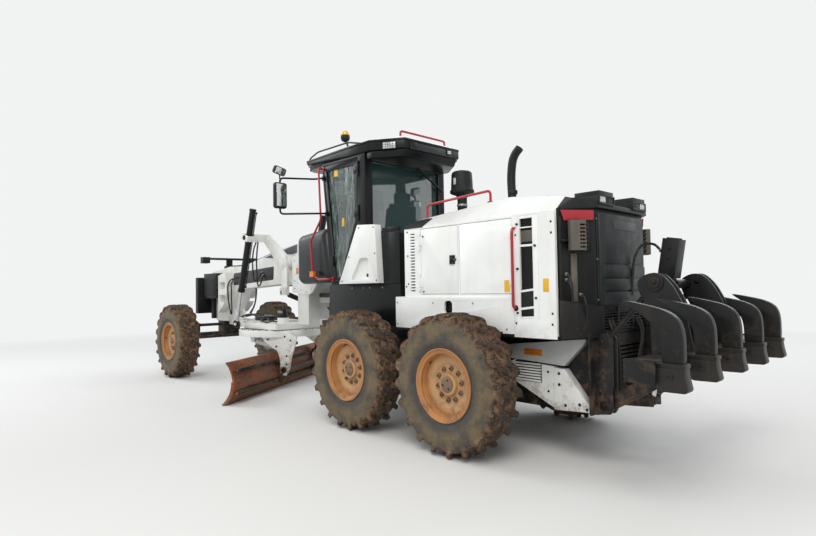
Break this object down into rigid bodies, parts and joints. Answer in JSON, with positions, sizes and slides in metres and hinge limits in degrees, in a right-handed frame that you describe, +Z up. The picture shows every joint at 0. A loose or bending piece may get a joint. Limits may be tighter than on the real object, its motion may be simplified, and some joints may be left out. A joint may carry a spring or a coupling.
{
  "type": "motor grader",
  "caption": "Used motor grader with articulated frame, glazed cab, lifting and turning blade, side bonnet doors and rear ripper",
  "frame": {"origin": "on the ground, under the middle of the machine's box", "axes": "+X forward, +Y to the driver's left, +Z up"},
  "size_m": [9.92, 3.2411, 3.71],
  "materials": {
    "white": "dirty white enamel",
    "black": "worn satin black paint",
    "dark_green": "greasy dark green-black paint",
    "red": "red enamel",
    "ochre": "ochre rim paint under dried mud",
    "tyre": "black rubber with dried brown mud",
    "glass": "greenish safety glass",
    "rust": "scoured and rusted steel plate",
    "steel": "grey cylinder and bright rod",
    "trim": "dark grey moulded plastic",
    "seat": "dark grey cloth"
  },
  "bodies": {
    "chassis": {"rear_frame": "black", "tandem_axle": "dark_green", "engine": "steel", "hood": "white", "rear_grille": "black", "exhaust_stacks": "black", "cab_base": "black", "side_steps": "white", "cab_frame": "black", "cab_glass": "glass", "cab_roof": "white", "cab_nose": "black", "seat": "seat", "control_console": "trim", "handrails": "red", "mirrors": "trim"},
    "front_body": {"front_frame": "white", "lift_saddle": "white", "front_axle": "black"},
    "knuckle_left": {"knuckle_left": "black"},
    "knuckle_right": {"knuckle_right": "black"},
    "tie_rod": {"tie_rod": "black"},
    "drawbar": {"drawbar": "white"},
    "turning_circle": {"turning_circle": "white"},
    "blade_carrier": {"blade_carrier": "black"},
    "moldboard": {"moldboard": "rust"},
    "tilt_barrel": {"tilt_barrel": "steel"},
    "tilt_rod": {"tilt_rod": "steel"},
    "lift_barrel_left": {"lift_barrel_left": "black"},
    "lift_rod_left": {"lift_rod_left": "steel"},
    "lift_barrel_right": {"lift_barrel_right": "black"},
    "lift_rod_right": {"lift_rod_right": "steel"},
    "shift_barrel": {"shift_barrel": "black"},
    "shift_rod": {"shift_rod": "steel"},
    "cab_door_left": {"door_left": "black", "door_left_glass": "glass"},
    "cab_door_right": {"door_right": "black", "door_right_glass": "glass"},
    "hood_door_left_front": {"hood_door_left_front": "white"},
    "hood_door_left_rear": {"hood_door_left_rear": "white"},
    "hood_door_right_front": {"hood_door_right_front": "white"},
    "hood_door_right_rear": {"hood_door_right_rear": "white"},
    "ripper_arms": {"ripper_arms": "black"},
    "ripper_links": {"ripper_links": "black"},
    "ripper_carriage": {"ripper_carriage": "black"},
    "ripper_barrel": {"ripper_barrel": "black"},
    "ripper_rod": {"ripper_rod": "steel"},
    "wheel_left_mid": {"tyre_left_mid": "tyre", "rim_left_mid": "ochre"},
    "wheel_left_rear": {"tyre_left_rear": "tyre", "rim_left_rear": "ochre"},
    "wheel_left_front": {"tyre_left_front": "tyre", "rim_left_front": "ochre"},
    "wheel_right_mid": {"tyre_right_mid": "tyre", "rim_right_mid": "ochre"},
    "wheel_right_rear": {"tyre_right_rear": "tyre", "rim_right_rear": "ochre"},
    "wheel_right_front": {"tyre_right_front": "tyre", "rim_right_front": "ochre"}
  },
  "joints": [
    {"name": "roll_left_mid", "type": "hinge", "parent": "chassis", "child": "wheel_left_mid", "pos_m": [-1.227, 1.055, 0.68], "axis": [0, 1, 0], "continuous": true},
    {"name": "roll_left_rear", "type": "hinge", "parent": "chassis", "child": "wheel_left_rear", "pos_m": [-2.753, 1.055, 0.68], "axis": [0, 1, 0], "continuous": true},
    {"name": "roll_left_front", "type": "hinge", "parent": "knuckle_left", "child": "wheel_left_front", "pos_m": [4.28, 1.03, 0.68], "axis": [0, 1, 0], "continuous": true},
    {"name": "roll_right_mid", "type": "hinge", "parent": "chassis", "child": "wheel_right_mid", "pos_m": [-1.227, -1.055, 0.68], "axis": [0, 1, 0], "continuous": true},
    {"name": "roll_right_rear", "type": "hinge", "parent": "chassis", "child": "wheel_right_rear", "pos_m": [-2.753, -1.055, 0.68], "axis": [0, 1, 0], "continuous": true},
    {"name": "roll_right_front", "type": "hinge", "parent": "knuckle_right", "child": "wheel_right_front", "pos_m": [4.28, -1.03, 0.68], "axis": [0, 1, 0], "continuous": true},
    {"name": "articulation", "type": "hinge", "parent": "chassis", "child": "front_body", "pos_m": [0.71, 0, 1.27], "axis": [0, 0, 1], "range_deg": [-20, 20]},
    {"name": "steer_left", "type": "hinge", "parent": "front_body", "child": "knuckle_left", "pos_m": [4.28, 0.79, 0.68], "axis": [0, 0, 1], "range_deg": [-38, 38]},
    {"name": "steer_right", "type": "hinge", "parent": "front_body", "child": "knuckle_right", "pos_m": [4.28, -0.79, 0.68], "axis": [0, 0, 1], "range_deg": [-38.5, 38.5]},
    {"name": "tie_rod_turn", "type": "hinge", "parent": "knuckle_left", "child": "tie_rod", "pos_m": [4.055, 0.79, 0.7], "axis": [0, 0, 1], "range_deg": [-38.5, 38.5]},
    {"name": "drawbar_lift", "type": "hinge", "parent": "front_body", "child": "drawbar", "pos_m": [3.81, 0, 1.025], "axis": [0, 1, 0], "range_deg": [-6, 13]},
    {"name": "lift_barrel_swing_left", "type": "hinge", "parent": "front_body", "child": "lift_barrel_left", "pos_m": [2.06, 0.7, 2.47], "axis": [0, -1, 0], "range_deg": [-2.58, 5]},
    {"name": "lift_rod_travel_left", "type": "slide", "parent": "lift_barrel_left", "child": "lift_rod_left", "axis": [-0.3053, 0, 0.9523], "range_m": [-0.1266, 0.2697]},
    {"name": "lift_barrel_swing_right", "type": "hinge", "parent": "front_body", "child": "lift_barrel_right", "pos_m": [2.06, -0.7, 2.47], "axis": [0, -1, 0], "range_deg": [-2.58, 5]},
    {"name": "lift_rod_travel_right", "type": "slide", "parent": "lift_barrel_right", "child": "lift_rod_right", "axis": [-0.3053, 0, 0.9523], "range_m": [-0.1266, 0.2697]},
    {"name": "shift_barrel_swing", "type": "hinge", "parent": "front_body", "child": "shift_barrel", "pos_m": [1.45, 0.43, 1.565], "axis": [-1, 0, 0], "range_deg": [-16.36, 34.27]},
    {"name": "shift_rod_travel", "type": "slide", "parent": "shift_barrel", "child": "shift_rod", "axis": [0, 0.9309, 0.3652], "range_m": [-0.0509, 0.1056]},
    {"name": "circle_turn", "type": "hinge", "parent": "drawbar", "child": "turning_circle", "pos_m": [2.09, 0, 0.9], "axis": [0, 0, 1], "range_deg": [-76, 14]},
    {"name": "blade_pitch", "type": "hinge", "parent": "turning_circle", "child": "blade_carrier", "pos_m": [1.80713, -0.16996, 0.33], "axis": [-0.515, 0.8572, 0], "range_deg": [-5, 30]},
    {"name": "blade_side_shift", "type": "slide", "parent": "blade_carrier", "child": "moldboard", "axis": [-0.515, 0.8572, 0], "range_m": [-0.5, 0.45]},
    {"name": "tilt_barrel_swing", "type": "hinge", "parent": "turning_circle", "child": "tilt_barrel", "pos_m": [1.99337, 0.65592, 0.79], "axis": [0.515, -0.8572, 0], "range_deg": [-2.22, 10.81]},
    {"name": "tilt_rod_travel", "type": "slide", "parent": "tilt_barrel", "child": "tilt_rod", "axis": [0.828, 0.4975, 0.2587], "range_m": [-0.0255, 0.133]},
    {"name": "cab_door_left_swing", "type": "hinge", "parent": "chassis", "child": "cab_door_left", "pos_m": [-0.894, 0.732, 2.84], "axis": [0, 0, 1], "range_deg": [0, 95]},
    {"name": "hood_door_left_front_swing", "type": "hinge", "parent": "chassis", "child": "hood_door_left_front", "pos_m": [-2.035, 0.792, 1.885], "axis": [0, 0, -1], "range_deg": [0, 100]},
    {"name": "hood_door_left_rear_swing", "type": "hinge", "parent": "chassis", "child": "hood_door_left_rear", "pos_m": [-3.275, 0.792, 1.885], "axis": [0, 0, 1], "range_deg": [0, 100]},
    {"name": "cab_door_right_swing", "type": "hinge", "parent": "chassis", "child": "cab_door_right", "pos_m": [-0.894, -0.732, 2.84], "axis": [0, 0, -1], "range_deg": [0, 95]},
    {"name": "hood_door_right_front_swing", "type": "hinge", "parent": "chassis", "child": "hood_door_right_front", "pos_m": [-2.035, -0.792, 1.885], "axis": [0, 0, 1], "range_deg": [0, 100]},
    {"name": "hood_door_right_rear_swing", "type": "hinge", "parent": "chassis", "child": "hood_door_right_rear", "pos_m": [-3.275, -0.792, 1.885], "axis": [0, 0, -1], "range_deg": [0, 100]},
    {"name": "ripper_lower", "type": "hinge", "parent": "chassis", "child": "ripper_arms", "pos_m": [-4.007, 0, 0.56], "axis": [0, -1, 0], "range_deg": [0, 45]},
    {"name": "ripper_link_turn", "type": "hinge", "parent": "chassis", "child": "ripper_links", "pos_m": [-4.007, 0, 1.11], "axis": [0, -1, 0], "range_deg": [-0.5, 43.44]},
    {"name": "ripper_carriage_turn", "type": "hinge", "parent": "ripper_arms", "child": "ripper_carriage", "pos_m": [-4.49, 0, 0.86], "axis": [0, 1, 0], "range_deg": [-0.5, 33.8]},
    {"name": "ripper_barrel_swing", "type": "hinge", "parent": "ripper_carriage", "child": "ripper_barrel", "pos_m": [-4.365, 0, 1.6], "axis": [0, -1, 0], "range_deg": [-0.5, 12.15]},
    {"name": "ripper_rod_travel", "type": "slide", "parent": "ripper_barrel", "child": "ripper_rod", "axis": [-0.1659, 0, 0.9861], "range_m": [-0.004, 0.3162]}
  ],
  "couplings": [
    {"joint": "steer_right", "follows": "steer_left", "ratio": 1},
    {"joint": "tie_rod_turn", "follows": "steer_left", "ratio": -1},
    {"joint": "lift_barrel_swing_left", "follows": "drawbar_lift", "ratio": 0.346},
    {"joint": "lift_rod_travel_left", "follows": "drawbar_lift", "m_per_rad": 1.171},
    {"joint": "lift_barrel_swing_right", "follows": "drawbar_lift", "ratio": 0.346},
    {"joint": "lift_rod_travel_right", "follows": "drawbar_lift", "m_per_rad": 1.171},
    {"joint": "shift_barrel_swing", "follows": "drawbar_lift", "ratio": 2.5592},
    {"joint": "shift_rod_travel", "follows": "drawbar_lift", "m_per_rad": 0.4476},
    {"joint": "tilt_barrel_swing", "follows": "blade_pitch", "ratio": 0.3437},
    {"joint": "tilt_rod_travel", "follows": "blade_pitch", "m_per_rad": 0.2463},
    {"joint": "ripper_link_turn", "follows": "ripper_lower", "ratio": 0.9543},
    {"joint": "ripper_carriage_turn", "follows": "ripper_lower", "ratio": 0.7399},
    {"joint": "ripper_barrel_swing", "follows": "ripper_lower", "ratio": 0.2589},
    {"joint": "ripper_rod_travel", "follows": "ripper_lower", "m_per_rad": 0.3975}
  ]
}
